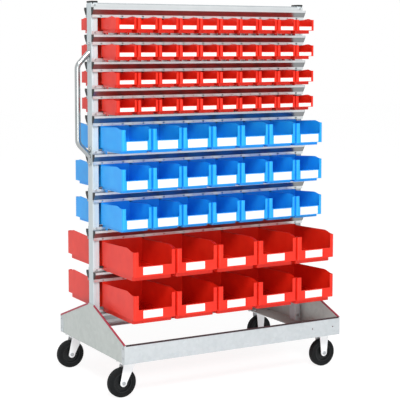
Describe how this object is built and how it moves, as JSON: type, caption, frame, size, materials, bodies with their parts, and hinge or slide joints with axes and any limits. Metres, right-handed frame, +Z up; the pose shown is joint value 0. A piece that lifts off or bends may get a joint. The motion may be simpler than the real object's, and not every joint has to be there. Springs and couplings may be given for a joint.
{
  "type": "mobile bin cart",
  "caption": "Double-sided steel rack on casters with rails that hold rows of open-fronted plastic bins in red and blue, and a bent push handle on one post.",
  "frame": {"origin": "on the floor under the middle of the cart's overall box", "axes": "+Z up, +X along the rack away from the push handle, -Y the front side with the open holes in its beam"},
  "size_m": [1.1626, 0.6908, 1.655],
  "materials": {
    "galvanised_sheet": "galvanised sheet steel with a faint spangle",
    "rail_steel": "bright zinc-coated roll-formed rail",
    "handle_steel": "bright zinc-plated tube",
    "caster_steel": "zinc-plated pressed steel",
    "zinc_fasteners": "zinc-plated screws, bolts and axles",
    "red_plastic": "moulded polypropylene, satin",
    "blue_plastic": "moulded polypropylene, satin",
    "crimson_trim": "soft edge trim",
    "dark_trim": "soft edge trim",
    "cap_plastic": "moulded black plastic",
    "hub_plastic": "moulded black plastic",
    "tyre_rubber": "black rubber"
  },
  "bodies": {
    "frame": {"left_end_panel": "galvanised_sheet", "right_end_panel": "galvanised_sheet", "panel_trims": "crimson_trim", "front_beam": "galvanised_sheet", "rear_beam": "galvanised_sheet", "beam_trims": "dark_trim", "corner_screws": "zinc_fasteners", "left_post": "galvanised_sheet", "right_post": "galvanised_sheet", "post_caps": "cap_plastic", "post_feet": "galvanised_sheet", "foot_bolts": "zinc_fasteners", "top_crossbeam": "galvanised_sheet", "front_small_rails": "rail_steel", "front_medium_rails": "rail_steel", "front_large_rails": "rail_steel", "rear_small_rails": "rail_steel", "rear_medium_rails": "rail_steel", "rear_large_rails": "rail_steel", "rail_screws": "zinc_fasteners", "rail_caps": "cap_plastic", "push_handle": "handle_steel", "handle_screws": "zinc_fasteners", "front_swivel_plate": "caster_steel", "rear_swivel_plate": "caster_steel", "king_pins": "zinc_fasteners", "front_fixed_fork": "caster_steel", "rear_fixed_fork": "caster_steel", "fixed_axles": "zinc_fasteners", "caster_bolts": "zinc_fasteners"},
    "front_row_1": {"front_bins_1": "red_plastic"},
    "front_row_2": {"front_bins_2": "red_plastic"},
    "front_row_3": {"front_bins_3": "red_plastic"},
    "front_row_4": {"front_bins_4": "red_plastic"},
    "front_row_5": {"front_bins_5": "blue_plastic"},
    "front_row_6": {"front_bins_6": "blue_plastic"},
    "front_row_7": {"front_bins_7": "blue_plastic"},
    "front_row_8": {"front_bins_8": "red_plastic"},
    "front_row_9": {"front_bins_9": "red_plastic"},
    "rear_row_1": {"rear_bins_1": "red_plastic"},
    "rear_row_2": {"rear_bins_2": "red_plastic"},
    "rear_row_3": {"rear_bins_3": "red_plastic"},
    "rear_row_4": {"rear_bins_4": "red_plastic"},
    "rear_row_5": {"rear_bins_5": "blue_plastic"},
    "rear_row_6": {"rear_bins_6": "blue_plastic"},
    "rear_row_7": {"rear_bins_7": "blue_plastic"},
    "rear_row_8": {"rear_bins_8": "red_plastic"},
    "rear_row_9": {"rear_bins_9": "red_plastic"},
    "front_swivel": {"front_swivel_fork": "caster_steel", "front_swivel_axle": "zinc_fasteners"},
    "front_left_wheel": {"front_left_hub": "hub_plastic", "front_left_tyre": "tyre_rubber"},
    "front_right_wheel": {"front_right_hub": "hub_plastic", "front_right_tyre": "tyre_rubber"},
    "rear_swivel": {"rear_swivel_fork": "caster_steel", "rear_swivel_axle": "zinc_fasteners"},
    "rear_left_wheel": {"rear_left_hub": "hub_plastic", "rear_left_tyre": "tyre_rubber"},
    "rear_right_wheel": {"rear_right_hub": "hub_plastic", "rear_right_tyre": "tyre_rubber"}
  },
  "joints": [
    {"name": "front_swivel_turn", "type": "hinge", "parent": "frame", "child": "front_swivel", "pos_m": [-0.46525, -0.27, 0.154], "axis": [0, 0, 1], "continuous": true},
    {"name": "front_left_wheel_spin", "type": "hinge", "parent": "front_swivel", "child": "front_left_wheel", "pos_m": [-0.49925, -0.27, 0.0625], "axis": [0, 1, 0], "continuous": true},
    {"name": "front_right_wheel_spin", "type": "hinge", "parent": "frame", "child": "front_right_wheel", "pos_m": [0.51875, -0.27, 0.0625], "axis": [0, 1, 0], "continuous": true},
    {"name": "rear_swivel_turn", "type": "hinge", "parent": "frame", "child": "rear_swivel", "pos_m": [-0.46525, 0.27, 0.154], "axis": [0, 0, 1], "continuous": true},
    {"name": "rear_left_wheel_spin", "type": "hinge", "parent": "rear_swivel", "child": "rear_left_wheel", "pos_m": [-0.49925, 0.27, 0.0625], "axis": [0, 1, 0], "continuous": true},
    {"name": "rear_right_wheel_spin", "type": "hinge", "parent": "frame", "child": "rear_right_wheel", "pos_m": [0.51875, 0.27, 0.0625], "axis": [0, 1, 0], "continuous": true},
    {"name": "front_row_1_lift", "type": "slide", "parent": "frame", "child": "front_row_1", "axis": [0, 0, 1], "range_m": [0, 0.005]},
    {"name": "front_row_2_lift", "type": "slide", "parent": "frame", "child": "front_row_2", "axis": [0, 0, 1], "range_m": [0, 0.005]},
    {"name": "front_row_3_lift", "type": "slide", "parent": "frame", "child": "front_row_3", "axis": [0, 0, 1], "range_m": [0, 0.005]},
    {"name": "front_row_4_lift", "type": "slide", "parent": "frame", "child": "front_row_4", "axis": [0, 0, 1], "range_m": [0, 0.005]},
    {"name": "front_row_5_lift", "type": "slide", "parent": "frame", "child": "front_row_5", "axis": [0, 0, 1], "range_m": [0, 0.005]},
    {"name": "front_row_6_lift", "type": "slide", "parent": "frame", "child": "front_row_6", "axis": [0, 0, 1], "range_m": [0, 0.005]},
    {"name": "front_row_7_lift", "type": "slide", "parent": "frame", "child": "front_row_7", "axis": [0, 0, 1], "range_m": [0, 0.005]},
    {"name": "front_row_8_lift", "type": "slide", "parent": "frame", "child": "front_row_8", "axis": [0, 0, 1], "range_m": [0, 0.005]},
    {"name": "front_row_9_lift", "type": "slide", "parent": "frame", "child": "front_row_9", "axis": [0, 0, 1], "range_m": [0, 0.005]},
    {"name": "rear_row_1_lift", "type": "slide", "parent": "frame", "child": "rear_row_1", "axis": [0, 0, 1], "range_m": [0, 0.005]},
    {"name": "rear_row_2_lift", "type": "slide", "parent": "frame", "child": "rear_row_2", "axis": [0, 0, 1], "range_m": [0, 0.005]},
    {"name": "rear_row_3_lift", "type": "slide", "parent": "frame", "child": "rear_row_3", "axis": [0, 0, 1], "range_m": [0, 0.005]},
    {"name": "rear_row_4_lift", "type": "slide", "parent": "frame", "child": "rear_row_4", "axis": [0, 0, 1], "range_m": [0, 0.005]},
    {"name": "rear_row_5_lift", "type": "slide", "parent": "frame", "child": "rear_row_5", "axis": [0, 0, 1], "range_m": [0, 0.005]},
    {"name": "rear_row_6_lift", "type": "slide", "parent": "frame", "child": "rear_row_6", "axis": [0, 0, 1], "range_m": [0, 0.005]},
    {"name": "rear_row_7_lift", "type": "slide", "parent": "frame", "child": "rear_row_7", "axis": [0, 0, 1], "range_m": [0, 0.005]},
    {"name": "rear_row_8_lift", "type": "slide", "parent": "frame", "child": "rear_row_8", "axis": [0, 0, 1], "range_m": [0, 0.005]},
    {"name": "rear_row_9_lift", "type": "slide", "parent": "frame", "child": "rear_row_9", "axis": [0, 0, 1], "range_m": [0, 0.005]}
  ]
}
